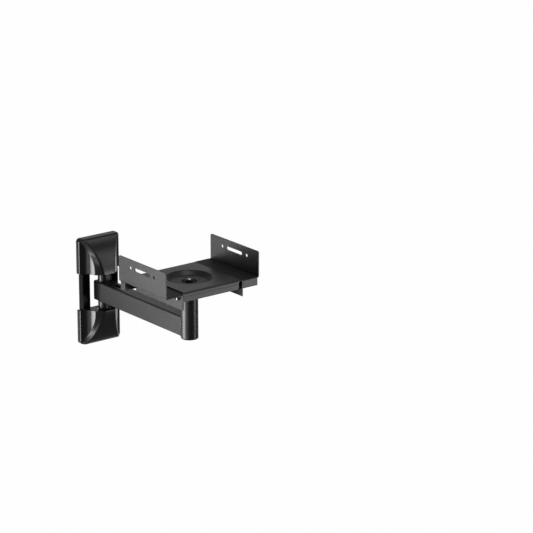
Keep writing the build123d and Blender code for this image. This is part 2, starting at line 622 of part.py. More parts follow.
with BuildPart() as upper_cover:
    box(-cover_half, cover_half, -COVER_SIDE_D, 0, COVER_NEAR - COVER_CORNER_R, COVER_FAR)
    fillet(upper_cover.edges().filter_by(Axis.Y).group_by(Axis.Z)[-1], COVER_CORNER_R)
    fillet(upper_cover.faces().sort_by(Axis.Y)[0].edges(), COVER_EDGE_R)
    below = COVER_NEAR - 2 * COVER_CORNER_R
    box(-cover_half, cover_half, -COVER_W, 1, below, COVER_NEAR, Mode.SUBTRACT)
    add(cover_front.part)
    add(cover_core.part, mode=Mode.SUBTRACT)
    rod(0, PIVOT_Y, COVER_NEAR, COVER_NEAR + 2 * COVER_WALL, SLEEVE_R + COVER_SLEEVE_GAP, Mode.SUBTRACT)
    slot_half = PLATE_W / 2 + RUN_GAP
    slot_top = COVER_NEAR + 2 * COVER_WALL
    box(-slot_half, slot_half, -PLATE_T - RUN_GAP, 0, COVER_NEAR, slot_top, Mode.SUBTRACT)
    for side in (-1, 1):
        slot_mid = side * (slot_half - FLANGE_T / 2 - RUN_GAP)
        box(slot_mid - FLANGE_T / 2 - RUN_GAP, slot_mid + FLANGE_T / 2 + RUN_GAP,
            -FLANGE_D_COVERED - RUN_GAP, 0, COVER_NEAR, slot_top, Mode.SUBTRACT)
    for side in (-1, 1):
        for rib_z in COVER_RIB_Z:
            rib_in = side * PLATE_W / 2
            rib_out = side * (cover_half - COVER_WALL / 2)
            box(min(rib_in, rib_out), max(rib_in, rib_out),
                -FLANGE_D_COVERED + COVER_PLATE_GAP, -COVER_PLATE_GAP, rib_z, rib_z + COVER_RIB_T)
save(upper_cover, "upper_cover")

with BuildPart() as lower_cover:
    add(upper_cover.part.mirror(Plane.XY))
save(lower_cover, "lower_cover")
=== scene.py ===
"""Speaker wall bracket: a swing arm on a covered wall plate that carries a dished, tilting tray.

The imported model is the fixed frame. The classes below dress its metal sheets, tubes and screws,
replace the moulded covers, and set the camera, the lamps and the floor. Sizes are in millimetres
and are turned into metres where a mesh is made.
"""
import json
import logging
import math
from dataclasses import dataclass, replace
from enum import Enum
from typing import Dict, List, Optional, Sequence, Tuple, Union

import bmesh
import bpy
import numpy as np
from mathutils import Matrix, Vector


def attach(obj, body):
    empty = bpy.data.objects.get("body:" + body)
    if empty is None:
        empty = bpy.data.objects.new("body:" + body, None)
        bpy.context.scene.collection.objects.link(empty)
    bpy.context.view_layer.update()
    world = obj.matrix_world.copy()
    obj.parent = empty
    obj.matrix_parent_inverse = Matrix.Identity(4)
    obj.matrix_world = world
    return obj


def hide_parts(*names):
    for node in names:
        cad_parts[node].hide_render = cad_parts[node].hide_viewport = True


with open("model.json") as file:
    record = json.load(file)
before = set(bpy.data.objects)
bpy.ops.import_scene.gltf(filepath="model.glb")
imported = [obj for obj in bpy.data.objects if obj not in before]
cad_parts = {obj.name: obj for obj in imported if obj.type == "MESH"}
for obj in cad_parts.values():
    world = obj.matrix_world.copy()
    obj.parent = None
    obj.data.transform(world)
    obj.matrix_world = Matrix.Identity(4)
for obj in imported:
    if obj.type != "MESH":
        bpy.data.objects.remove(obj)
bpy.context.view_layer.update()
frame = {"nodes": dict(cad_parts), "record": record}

logging.basicConfig(level=logging.INFO, format="%(message)s")
log = logging.getLogger("bracket")

MM = 0.001
WELD_REACH = 0.002
FLAT_ANGLE = math.radians(0.4)
CREASE_ANGLE = math.radians(32.0)
Array = np.ndarray
Number = Union[int, float]
Colour = Tuple[float, float, float, float]


def grey(level: float) -> Colour:
    """A neutral colour of one linear level."""
    return (level, level, level, 1.0)


# Shader maths


class Wire:
    """A shader socket that can be used in an expression.

    Args:
        maker: The node maker that owns the tree.
        socket: The output socket this wire reads.
    """

    def __init__(self, maker: "NodeMaker", socket: bpy.types.NodeSocket) -> None:
        """Keeps the maker and the socket."""
        self.maker = maker
        self.socket = socket

    def _math(self, operation: str, first: "Value", second: "Value") -> "Wire":
        """Adds one Math node and returns its result."""
        return self.maker.node("ShaderNodeMath", {"operation": operation}, {0: first, 1: second})

    def __add__(self, other: "Value") -> "Wire":
        """This value plus another."""
        return self._math("ADD", self, other)

    def __radd__(self, other: "Value") -> "Wire":
        """Another value plus this one."""
        return self._math("ADD", other, self)

    def __sub__(self, other: "Value") -> "Wire":
        """This value less another."""
        return self._math("SUBTRACT", self, other)

    def __rsub__(self, other: "Value") -> "Wire":
        """Another value less this one."""
        return self._math("SUBTRACT", other, self)

    def __mul__(self, other: "Value") -> "Wire":
        """This value times another."""
        return self._math("MULTIPLY", self, other)

    def __rmul__(self, other: "Value") -> "Wire":
        """Another value times this one."""
        return self._math("MULTIPLY", other, self)

    def __gt__(self, other: "Value") -> "Wire":
        """One where this value is the greater, else nought."""
        return self._math("GREATER_THAN", self, other)


Value = Union[Wire, Number]


class NodeMaker:
    """Makes the nodes of one material or world tree.

    Args:
        tree: The node tree that is filled.
    """

    def __init__(self, tree: bpy.types.NodeTree) -> None:
        """Empties the tree and keeps it."""
        self.tree = tree
        tree.nodes.clear()

    def node(self, kind: str, settings: Optional[Dict[str, object]] = None,
             sockets: Optional[Dict[Union[int, str], object]] = None, output: Union[int, str] = 0) -> Wire:
        """Adds a node with its settings first and then its socket values or links.

        Args:
            kind: The node's type name.
            settings: Properties of the node.
            sockets: Input sockets by number or name, each a number, a colour or a Wire.
            output: The output that the returned wire reads.

        Returns:
            A wire on the chosen output.
        """
        made = self.tree.nodes.new(kind)
        for name, value in (settings or {}).items():
            setattr(made, name, value)
        for key, value in (sockets or {}).items():
            if isinstance(value, Wire):
                self.tree.links.new(value.socket, made.inputs[key])
            else:
                made.inputs[key].default_value = value
        return Wire(self, made.outputs[output] if made.outputs else None)

    def object_coordinates(self) -> Wire:
        """The piece's own coordinates, in metres."""
        return self.node("ShaderNodeTexCoord", output="Object")

    def noise(self, scale: float, detail: float = 3.0, roughness: float = 0.5) -> Wire:
        """Noise on object coordinates, about 0.5 on average.

        Args:
            scale: Cells to the metre.
            detail: Octaves.
            roughness: How strong the finer octaves are.

        Returns:
            The noise factor.
        """
        return self.node("ShaderNodeTexNoise", {}, {"Vector": self.object_coordinates(), "Scale": scale,
                                                    "Detail": detail, "Roughness": roughness}, "Fac")

    def mix_colour(self, factor: Value, first: object, second: object) -> Wire:
        """Mixes two colours by a factor."""
        return self.node("ShaderNodeMix", {"data_type": "RGBA"}, {0: factor, 6: first, 7: second}, 2)

    def bump(self, height: Wire, distance: float, strength: float) -> Wire:
        """A normal from a height, with its distance in metres."""
        return self.node("ShaderNodeBump", {}, {"Height": height, "Distance": distance, "Strength": strength},
                         "Normal")


# Finishes


@dataclass(frozen=True)
class Finish:
    """A surface finish built on one Principled shader.

    Attributes:
        name: The material's name.
        colour: Base colour at one end of the broad variation.
        varied: Base colour at its other end.
        roughness: Mean roughness.
        roughness_swing: How far the roughness moves either side of its mean.
        metallic: Metal share.
        shine: Specular level, 0.5 for plain plastic.
        patch_scale: Cells to the metre of the broad variation.
        grain_scale: Cells to the metre of the fine grain.
        grain_depth: Height of the fine grain, in millimetres.
        dull_levels: Lowest and highest level of a band that looks duller in the photograph.
        dull_roughness: How much rougher that band is.
    """

    name: str
    colour: Colour
    varied: Colour
    roughness: float
    roughness_swing: float
    metallic: float
    shine: float
    patch_scale: float
    grain_scale: float
    grain_depth: float
    dull_levels: Optional[Tuple[float, float]] = None
    dull_roughness: float = 0.3

    def material(self) -> bpy.types.Material:
        """Returns the material, made on first use."""
        ready = bpy.data.materials.get(self.name)
        if ready:
            return ready
        made = bpy.data.materials.new(self.name)
        made.use_nodes = True
        maker = NodeMaker(made.node_tree)
        patches = maker.noise(self.patch_scale)
        grain = maker.noise(self.grain_scale, 2.0)
        rough = self.roughness + (patches - 0.5) * (2.0 * self.roughness_swing)
        if self.dull_levels:
            rough = rough + self._dull_band(maker) * self.dull_roughness
        tone = maker.mix_colour(patches, self.colour, self.varied)
        normal = maker.bump(grain, self.grain_depth * MM, 1.0)
        shader = maker.node("ShaderNodeBsdfPrincipled", {}, {
            "Base Color": tone, "Roughness": rough, "Metallic": self.metallic,
            "Specular IOR Level": self.shine, "Normal": normal})
        maker.node("ShaderNodeOutputMaterial", {}, {"Surface": shader})
        return made

    def _dull_band(self, maker: NodeMaker) -> Wire:
        """One between the two dull levels, else nought."""
        height = maker.node("ShaderNodeSeparateXYZ", {}, {0: maker.object_coordinates()}, "Z")
        low, high = self.dull_levels
        return (height > low * MM) * (1.0 - (height > high * MM))


POWDER_COAT = Finish(
    "powder_coat", grey(0.009), grey(0.012), roughness=0.33, roughness_swing=0.03, metallic=0.0,
    shine=0.62, patch_scale=24.0, grain_scale=1500.0, grain_depth=0.003)


class Coating(Enum):
    """The finishes of the bracket's pieces."""

    POWDER = POWDER_COAT
    CLAMP = replace(POWDER_COAT, name="powder_coat_dull_base", roughness=0.34, dull_levels=(95.4, 96.6))
    TRAY = replace(POWDER_COAT, name="powder_coat_dished", dull_levels=(90.0, 91.3), dull_roughness=0.12)
    # The wall plate's coat is the same powder coat made darker and less shiny: a painted shade standing in
    # for the shade near the wall.
    PLATE = replace(POWDER_COAT, name="powder_coat_dull_painted_shade", colour=grey(0.007), varied=grey(0.010),
                    roughness=0.30, roughness_swing=0.04, shine=0.12)
    GLOSS = Finish(
        "gloss_moulding", grey(0.003), grey(0.004), roughness=0.28, roughness_swing=0.012, metallic=0.0,
        shine=0.70, patch_scale=18.0, grain_scale=900.0, grain_depth=0.0002)
    MATT = Finish(
        "matt_moulding", grey(0.010), grey(0.013), roughness=0.55, roughness_swing=0.05, metallic=0.0,
        shine=0.35, patch_scale=40.0, grain_scale=2600.0, grain_depth=0.012)
    BUSH = Finish(
        "turned_bush", grey(0.30), grey(0.26), roughness=0.45, roughness_swing=0.05, metallic=0.0,
        shine=0.5, patch_scale=60.0, grain_scale=2600.0, grain_depth=0.004)
    OXIDE = Finish(
        "black_oxide", grey(0.014), grey(0.030), roughness=0.38, roughness_swing=0.08, metallic=0.6,
        shine=0.5, patch_scale=120.0, grain_scale=3000.0, grain_depth=0.006)
    ZINC = Finish(
        "bright_zinc", grey(0.62), grey(0.50), roughness=0.26, roughness_swing=0.08, metallic=1.0,
        shine=0.5, patch_scale=160.0, grain_scale=3000.0, grain_depth=0.003)


SLOT_COATING: Dict[str, Coating] = {
    "powder_black": Coating.POWDER,
    "gloss_black": Coating.GLOSS,
    "cap_black": Coating.MATT,
    "bush_grey": Coating.BUSH,
    "black_oxide": Coating.OXIDE,
    "zinc": Coating.ZINC,
}
PIECE_COATING: Dict[str, Coating] = {
    "left_clamp_eased": Coating.CLAMP,
    "right_clamp_eased": Coating.CLAMP,
    "tray_eased": Coating.TRAY,
    "wall_plate_eased": Coating.PLATE,
}


# Meshes


def record_bodies() -> Dict[str, str]:
    """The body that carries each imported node."""
    bodies = frame["record"]["behaviour"]["bodies"]
    return {node: body for body, nodes in bodies.items() for node in nodes}


def record_slots() -> Dict[str, str]:
    """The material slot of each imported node."""
    return {entry["node"]: entry["material_slot"] for entry in frame["record"]["subparts"]}


BODY_OF = record_bodies()
SLOT_OF = record_slots()


def grid_faces(rows: int, columns: int, closed: bool = False) -> Array:
    """Four-sided faces between the rows of a point grid.

    Args:
        rows: Number of rows.
        columns: Points to a row.
        closed: Whether each row joins up with its own start.

    Returns:
        One face to a line, as point numbers.
    """
    last = columns if closed else columns - 1
    row, column = np.meshgrid(np.arange(rows - 1), np.arange(last), indexing="ij")
    following = (column + 1) % columns
    corners = [row * columns + column, row * columns + following,
               (row + 1) * columns + following, (row + 1) * columns + column]
    return np.stack([corner.ravel() for corner in corners], axis=1)


@dataclass
class Shape:
    """A mesh in the making, in millimetres.

    Attributes:
        points: One point to a line.
        faces: One four-sided face to a line.
    """

    points: Array
    faces: Array

    def joined(self, other: "Shape") -> "Shape":
        """This shape and another as one."""
        faces = np.concatenate([self.faces, other.faces + len(self.points)])
        return Shape(np.concatenate([self.points, other.points]), faces)

    def mirrored(self) -> "Shape":
        """The shape mirrored in the level of the arm."""
        return Shape(self.points * np.array([1.0, 1.0, -1.0]), self.faces[:, ::-1])

    def piece(self, name: str, body: str, slot: str) -> bpy.types.Object:
        """Makes the piece, welds its seams and dresses it.

        Args:
            name: The piece's name.
            body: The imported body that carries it.
            slot: The record's material slot that finishes it.

        Returns:
            The new object, at the origin.
        """
        mesh = bpy.data.meshes.new(name)
        mesh.from_pydata((self.points * MM).tolist(), [], self.faces.tolist())
        weld(mesh)
        return dressed(mesh, name, body, slot)


def weld(mesh: bpy.types.Mesh) -> None:
    """Joins points that lie together, and smooths every face."""
    work = bmesh.new()
    work.from_mesh(mesh)
    bmesh.ops.remove_doubles(work, verts=work.verts, dist=WELD_REACH * MM)
    work.to_mesh(mesh)
    work.free()
    mesh.shade_smooth()


def dressed(mesh: bpy.types.Mesh, name: str, body: str, slot: str) -> bpy.types.Object:
    """Puts a mesh in the scene as a finished piece of a body.

    Args:
        mesh: The mesh, in metres in the row's frame.
        name: The piece's name.
        body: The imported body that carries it.
        slot: The record's material slot that finishes it.

    Returns:
        The new object, at the origin.
    """
    mesh.materials.clear()
    mesh.materials.append(PIECE_COATING.get(name, SLOT_COATING[slot]).value.material())
    piece = bpy.data.objects.new(name, mesh)
    bpy.context.scene.collection.objects.link(piece)
    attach(piece, body)
    log.info("piece %s on %s: %s, %d faces", name, body, slot, len(mesh.polygons))
    return piece


# Metal pieces


@dataclass(frozen=True)
class EdgedCopy:
    """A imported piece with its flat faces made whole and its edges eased.

    Attributes:
        node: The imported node.
        ease: Width of the eased edge, in millimetres.
        segments: Facets across the eased edge.
    """

    node: str
    ease: float
    segments: int = 2

    def build(self) -> bpy.types.Object:
        """Copies the node's mesh, joins its facets and eases its edges.

        Returns:
            The piece that stands for the node.
        """
        source = frame["nodes"][self.node]
        mesh = source.data.copy()
        mesh.name = f"{self.node}_eased"
        mesh.transform(source.matrix_world)
        work = bmesh.new()
        work.from_mesh(mesh)
        bmesh.ops.remove_doubles(work, verts=work.verts, dist=WELD_REACH * MM)
        bmesh.ops.dissolve_limit(work, angle_limit=FLAT_ANGLE, verts=work.verts, edges=work.edges)
        for edge in work.edges:
            edge.smooth = len(edge.link_faces) == 2 and edge.calc_face_angle() < CREASE_ANGLE
        for face in work.faces:
            face.smooth = True
        work.to_mesh(mesh)
        work.free()
        piece = dressed(mesh, mesh.name, BODY_OF[self.node], SLOT_OF[self.node])
        bevel = piece.modifiers.new("eased_edges", "BEVEL")
        bevel.width = self.ease * MM
        bevel.segments = self.segments
        bevel.limit_method = "ANGLE"
        bevel.angle_limit = CREASE_ANGLE
        bevel.harden_normals = True
        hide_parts(self.node)
        return piece


@dataclass
class MetalWork:
    """Every plate, tube, bolt and cap of the bracket, with its edges eased.

    Attributes:
        sheet_ease: Eased edge of the folded sheets.
        tube_ease: Eased edge of the tubes and the turned seat.
        small_ease: Eased edge of screws, nuts and washers.
        cap_ease: Eased edge of the moulded caps and bushes.
    """

    sheet_ease: float = 0.35
    tube_ease: float = 0.4
    small_ease: float = 0.18
    cap_ease: float = 0.3

    def copies(self) -> List[EdgedCopy]:
        """The nodes that get eased edges, each with its width."""
        groups = {
            self.sheet_ease: ("wall_plate", "tray", "left_clamp", "right_clamp", "left_rail", "right_rail"),
            self.tube_ease: ("arm_tube", "column_tube", "pivot_sleeve", "swivel_seat", "pivot_bolt",
                             "pivot_nut"),
            self.small_ease: ("tilt_bolt", "tilt_nut", "dome_washer", "left_nut", "right_nut", "left_screw",
                              "right_screw", "left_screw_washer", "right_screw_washer",
                              "pivot_washer_upper", "pivot_washer_lower"),
            self.cap_ease: ("arm_end_cap", "column_end_cap", "bush_upper", "bush_lower"),
        }
        return [EdgedCopy(node, ease) for ease, nodes in groups.items() for node in nodes]

    def build(self) -> None:
        """Builds every copy."""
        for copy in self.copies():
            copy.build()


@dataclass
class WeldBead:
    """A run of weld along a path, as a tube whose radius swells with each puddle.

    Attributes:
        name: The piece's name.
        radius: Mean radius of the bead.
        ripple: How far each puddle swells.
        pitch: Length of one puddle.
        sides: Points round the bead.
        swell: How fast an open bead comes up to its full radius at its ends.
    """

    name: str
    radius: float = 1.0
    ripple: float = 0.12
    pitch: float = 1.8
    sides: int = 12
    swell: float = 4.0

    def build(self, path: Array, closed: bool) -> bpy.types.Object:
        """Sweeps the bead along a path.

        The radius at a run length s is radius + ripple * cos(2 pi s / pitch), and on an open path
        it falls to nothing at both ends.

        Args:
            path: Points of the path, one to a line.
            closed: Whether the path joins up with its start.

        Returns:
            The bead's object.
        """
        ahead = np.roll(path, -1, axis=0) - np.roll(path, 1, axis=0)
        if not closed:
            ahead[0], ahead[-1] = path[1] - path[0], path[-1] - path[-2]
        ahead /= np.linalg.norm(ahead, axis=1, keepdims=True)
        steps = np.linalg.norm(np.diff(path, axis=0), axis=1)
        run = np.concatenate([[0.0], np.cumsum(steps)])
        inward = path - path.mean(axis=0)
        across = np.cross(ahead, inward)
        across /= np.linalg.norm(across, axis=1, keepdims=True)
        outward = np.cross(across, ahead)
        size = self.radius + self.ripple * np.cos(2.0 * np.pi * run / self.pitch)
        if not closed:
            size *= np.sqrt(np.clip(np.sin(np.pi * run / run[-1]) * self.swell, 0.0, 1.0))
        turn = np.linspace(0.0, 2.0 * np.pi, self.sides, endpoint=False)
        ring = across[:, None] * np.cos(turn)[None, :, None] + outward[:, None] * np.sin(turn)[None, :, None]
        points = path[:, None] + ring * size[:, None, None]
        rows = len(path)
        if closed:
            points, rows = np.concatenate([points, points[:1]]), rows + 1
        shape = Shape(points.reshape(-1, 3), grid_faces(rows, self.sides, closed=True)[:, ::-1])
        return shape.piece(self.name, "arm", "powder_black")


@dataclass
class ArmWelds:
    """The beads that hold the column and the pivot sleeve to the arm.

    Attributes:
        arm_w: Width of the arm tube.
        arm_h: Height of the arm tube.
        corner: Outer corner radius of the arm tube.
        column_y: Axis of the column.
        column_r: Outer radius of the column.
        pivot_y: Axis of the pivot.
        sleeve_r: Outer radius of the sleeve.
        sleeve_arc: Degrees that the sleeve's bead covers, open towards the wall.
        outline_reach: Share of the arm's size that the outline's oval has before it is clipped flat.
        column_points: Points of the column's bead.
        sleeve_points: Points of each sleeve bead.
    """

    arm_w: float = 30.0
    arm_h: float = 40.0
    corner: float = 3.0
    column_y: float = -311.3
    column_r: float = 17.0
    pivot_y: float = -24.0
    sleeve_r: float = 11.4
    sleeve_arc: float = 250.0
    outline_reach: float = 0.72
    column_points: int = 240
    sleeve_points: int = 200

    def build(self) -> None:
        """Builds the three beads."""
        WeldBead("column_weld", 0.9).build(self._column_path(), True)
        for name, level in (("sleeve_weld_upper", self.arm_h / 2), ("sleeve_weld_lower", -self.arm_h / 2)):
            WeldBead(name, 1.0).build(self._sleeve_path(level), False)

    def _column_path(self) -> Array:
        """The arm's rounded outline, laid on the side of the column that faces the wall."""
        turn = np.linspace(0.0, 2.0 * np.pi, self.column_points, endpoint=False)
        flat_x, flat_z = self.arm_w / 2 - self.corner, self.arm_h / 2 - self.corner
        oval_x = np.cos(turn) * self.arm_w * self.outline_reach
        oval_z = np.sin(turn) * self.arm_h * self.outline_reach
        x = np.clip(oval_x, -flat_x, flat_x) + self.corner * np.cos(turn)
        z = np.clip(oval_z, -flat_z, flat_z) + self.corner * np.sin(turn)
        y = self.column_y + np.sqrt(self.column_r ** 2 - np.clip(x, -self.column_r, self.column_r) ** 2)
        return np.stack([x, y, z], axis=1)

    def _sleeve_path(self, level: float) -> Array:
        """An arc round the sleeve at the arm's top or bottom."""
        half = math.radians(self.sleeve_arc / 2)
        turn = np.linspace(-half, half, self.sleeve_points)
        x = self.sleeve_r * np.sin(turn)
        y = self.pivot_y - self.sleeve_r * np.cos(turn)
        return np.stack([x, y, np.full_like(x, level)], axis=1)


# Moulded covers


@dataclass(frozen=True)
class CoverSteps:
    """How finely a cover's mesh is divided.

    Attributes:
        near_edge: Rows round the edge of the near end.
        middle: Rows between the two ends.
        far_corner: Rows round the far corners.
        side_edge: Points round the side wall's front edge.
        scoop: Points along a scoop.
        first_bend: Points round the first crease.
        band: Points up the band between the creases.
        second_bend: Points round the second crease.
        front: Points across half the front.
        rear: Points along the near wall's edge next to the plate.
        ring: Points of each line of the near wall.
    """

    near_edge: int = 6
    middle: int = 60
    far_corner: int = 28
    side_edge: int = 9
    scoop: int = 30
    first_bend: int = 6
    band: int = 8
    second_bend: int = 12
    front: int = 10
    rear: int = 24
    ring: int = 10


@dataclass
class MouldedCover:
    """A glossy cover: a shallow slab, a raised front and an upright scoop in each side.

    A level section runs from the side wall over the rounded edge, along the scoop's arc to the
    first crease, up a straight band to the second crease, and over the flat front. Both creases
    move out to the far corners as the section nears the cover's far end.

    Attributes:
        half_w: Half the cover's width.
        near: Level of the end next to the arm.
        far: Level of the far end.
        side_d: Depth of the side walls.
        corner_r: Radius of the far corners.
        edge_r: Radius of the front edges.
        near_r: Radius of the edge round the near end.
        wall: Wall thickness.
        scoop_r: Radius of the scoops.
        scoop_off: How far outside the side wall the scoop's axis stands.
        scoop_d: Depth of the scoop's axis.
        slope: Depth that the front gains for each millimetre in from the side.
        crease_soft: Run of the rounding each side of the first crease.
        front_soft: Run of the rounding each side of the second crease.
        hole_r: Radius of the hole that the pivot sleeve passes.
        pivot_d: Depth of the pivot's axis.
        plate_gap: Depth of the slot that the wall plate passes.
        aim_d: Depth of the point, inside the hole, that the near wall's lines run to.
        end_draw: Share by which the far end's flat narrows towards the wall.
        end_shares: Shares of the depth at which the rows of the far end's flat stand.
        wall_shares: Shares of the side wall's flat depth at which its points stand.
        corner_from: Share of the half width from which the far corners draw the section in.
        front_curve: Gain, inner power, outer power and least inset of the second crease.
        scoop_curve: The same four numbers of the first crease.
        steps: How finely the mesh is divided.
    """

    half_w: float = 47.8
    near: float = 37.3
    far: float = 109.3
    side_d: float = 11.2
    corner_r: float = 7.0
    edge_r: float = 2.2
    near_r: float = 0.7
    wall: float = 2.2
    scoop_r: float = 26.0
    scoop_off: float = 4.8
    scoop_d: float = 36.2
    slope: float = 0.95
    crease_soft: float = 0.8
    front_soft: float = 2.6
    hole_r: float = 13.2
    pivot_d: float = 24.0
    plate_gap: float = 3.3
    aim_d: float = 16.0
    end_draw: float = 0.03
    end_shares: Tuple[float, ...] = (0.66, 0.33, 0.0)
    wall_shares: Tuple[float, ...] = (0.0, 0.35, 0.75)
    corner_from: float = 0.65
    front_curve: Tuple[float, float, float, float] = (31.76, 1.405, 0.715, 3.58)
    scoop_curve: Tuple[float, float, float, float] = (20.62, 3.561, 1.35, 0.38)
    steps: CoverSteps = CoverSteps()

    def build(self) -> None:
        """Builds the upper cover and its mirror image below the arm."""
        shape = self._shell().joined(self._near_wall())
        for name, node, form in (("upper_moulding", "upper_cover", shape),
                                 ("lower_moulding", "lower_cover", shape.mirrored())):
            piece = form.piece(name, "wall_unit", "gloss_black")
            thick = piece.modifiers.new("wall", "SOLIDIFY")
            thick.thickness = self.wall * MM
            thick.offset = -1.0
            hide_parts(node)

    @staticmethod
    def _crease_inset(curve: Tuple[float, float, float, float], share: Array) -> Array:
        """Distance of a crease from the side, gain * (1 - share^inner)^outer + least."""
        gain, inner, outer, least = curve
        return gain * (1.0 - share ** inner) ** outer + least

    def _rows(self) -> Tuple[Array, Array, Array]:
        """Levels of the rows, with the inset of the near edge and the drop of the far edge at each.

        Returns:
            The level, how far the near edge's rounding draws the section in, and how far the far
            edge's rounding lowers it.
        """
        turn = np.linspace(math.pi / 2, 0.0, self.steps.near_edge)
        first = self.near + self.near_r * (1.0 - np.sin(turn))
        drawn = self.near_r * (1.0 - np.cos(turn))
        middle = np.linspace(self.near + self.near_r, self.far - self.corner_r, self.steps.middle)[1:-1]
        rise = np.sin(np.linspace(0.0, math.pi / 2, self.steps.far_corner))
        last = self.far - self.corner_r + self.corner_r * rise
        level = np.concatenate([first, middle, last])
        inset = np.concatenate([drawn, np.zeros(len(middle) + len(last))])
        over = np.clip(level - (self.far - self.edge_r), 0.0, self.edge_r)
        return level, inset, self.edge_r - np.sqrt(self.edge_r ** 2 - over ** 2)

    def _half_section(self, share: Array) -> Tuple[Array, Array]:
        """Half of each level section, from the side wall's back to the middle of the front.

        Args:
            share: Share of the cover's height of each row.

        Returns:
            Distances from the middle and depths, one row to a section.
        """
        share = share[:, None]
        axis_x = self.half_w + self.scoop_off
        start = math.acos((self.scoop_d - self.side_d) / self.scoop_r)
        ledge = self.half_w - (axis_x - self.scoop_r * math.sin(start))
        first_x = self.half_w - np.maximum(self._crease_inset(self.scoop_curve, share), ledge)
        second_x = self.half_w - self._crease_inset(self.front_curve, share)
        end = np.arcsin((axis_x - first_x) / self.scoop_r)
        first_d = self.scoop_d - self.scoop_r * np.cos(end)
        second_d = self.side_d + (self.half_w - second_x) * self.slope
        wall_x, wall_d = self._side_edge(share)
        band = np.hypot(first_x - second_x, second_d - first_d)
        soft = np.minimum(self.crease_soft, band / 3)
        bend = np.minimum(self.front_soft, np.minimum(band / 3, second_x / 3))
        stop = np.maximum(end - soft / self.scoop_r, (start + end) / 2)
        angle = start + (stop - start) * np.linspace(0.0, 1.0, self.steps.scoop)[None, 1:]
        arc_x = axis_x - self.scoop_r * np.sin(angle)
        arc_d = self.scoop_d - self.scoop_r * np.cos(angle)
        along_x, along_d = (second_x - first_x) / band, (second_d - first_d) / band
        low = (first_x + along_x * soft, first_d + along_d * soft)
        high = (second_x - along_x * bend, second_d - along_d * bend)
        over = (second_x - bend, second_d)
        parts = [
            (wall_x, wall_d),
            (arc_x, arc_d),
            self._bend((arc_x[:, -1:], arc_d[:, -1:]), (first_x, first_d), low, self.steps.first_bend),
            self._straight(low, high, self.steps.band),
            self._bend(high, (second_x, second_d), over, self.steps.second_bend),
            self._straight(over, (np.zeros_like(second_x), second_d), self.steps.front),
        ]
        return np.concatenate([x for x, _ in parts], axis=1), np.concatenate([d for _, d in parts], axis=1)

    def _side_edge(self, share: Array) -> Tuple[Array, Array]:
        """The side wall and its rounded front edge, the same in every section."""
        turn = np.linspace(0.0, math.pi / 2, self.steps.side_edge)
        flat_x = np.full(len(self.wall_shares), self.half_w)
        x = np.concatenate([flat_x, self.half_w - self.edge_r * (1.0 - np.cos(turn))])
        flat = self.side_d - self.edge_r
        d = np.concatenate([np.array(self.wall_shares) * flat, flat + self.edge_r * np.sin(turn)])
        ones = np.ones_like(share)
        return x[None, :] * ones, d[None, :] * ones

    @staticmethod
    def _bend(start: Tuple[Array, Array], corner: Tuple[Array, Array], stop: Tuple[Array, Array],
              count: int) -> Tuple[Array, Array]:
        """A rounding that leaves one line and joins the next, (1-t)^2 a + 2t(1-t) c + t^2 b."""
        t = np.linspace(0.0, 1.0, count + 1)[None, 1:]
        x, d = (a * (1 - t) ** 2 + c * 2 * t * (1 - t) + b * t ** 2 for a, c, b in zip(start, corner, stop))
        return x, d

    @staticmethod
    def _straight(start: Tuple[Array, Array], stop: Tuple[Array, Array], count: int) -> Tuple[Array, Array]:
        """Points of a straight run, without its start."""
        t = np.linspace(0.0, 1.0, count + 1)[None, 1:]
        x, d = (a * (1 - t) + b * t for a, b in zip(start, stop))
        return x, d

    def _section_grid(self) -> Tuple[Array, Array, Array]:
        """Full sections, drawn in at the far corners and rounded at both ends.

        Returns:
            Distances across, depths and levels, one row to a section.
        """
        level, inset, drop = self._rows()
        share = np.clip((level - self.near) / (self.far - self.near), 0.0, 1.0)
        x, d = self._half_section(share)
        over = np.clip(level - (self.far - self.corner_r), 0.0, self.corner_r)
        narrow = self.corner_r - np.sqrt(np.maximum(self.corner_r ** 2 - over ** 2, 0.0))
        corner_x, corner_w = self.corner_from * self.half_w, (1 - self.corner_from) * self.half_w
        reach = np.clip((x - corner_x) / corner_w, 0.0, 1.0)
        x = x - narrow[:, None] * reach
        d = d - drop[:, None] * np.minimum(d / self.side_d, 1.0)
        x = x - inset[:, None] * x / self.half_w
        d = d - inset[:, None] * d / d.max(axis=1, keepdims=True)
        across = np.concatenate([-x, x[:, -2::-1]], axis=1)
        depth = np.concatenate([d, d[:, -2::-1]], axis=1)
        return across, depth, np.repeat(level[:, None], across.shape[1], axis=1)

    def _shell(self) -> Shape:
        """The cover's outer skin, with its flat far end."""
        across, depth, level = self._section_grid()
        back = np.array(self.end_shares)[:, None]
        across = np.concatenate([across, across[-1:] * (1.0 - self.end_draw * (1.0 - back))])
        depth = np.concatenate([depth, depth[-1:] * back])
        level = np.concatenate([level, np.repeat(level[-1:], len(back), axis=0)])
        points = np.stack([across, -depth, level], axis=2)
        return Shape(points.reshape(-1, 3), grid_faces(*points.shape[:2]))

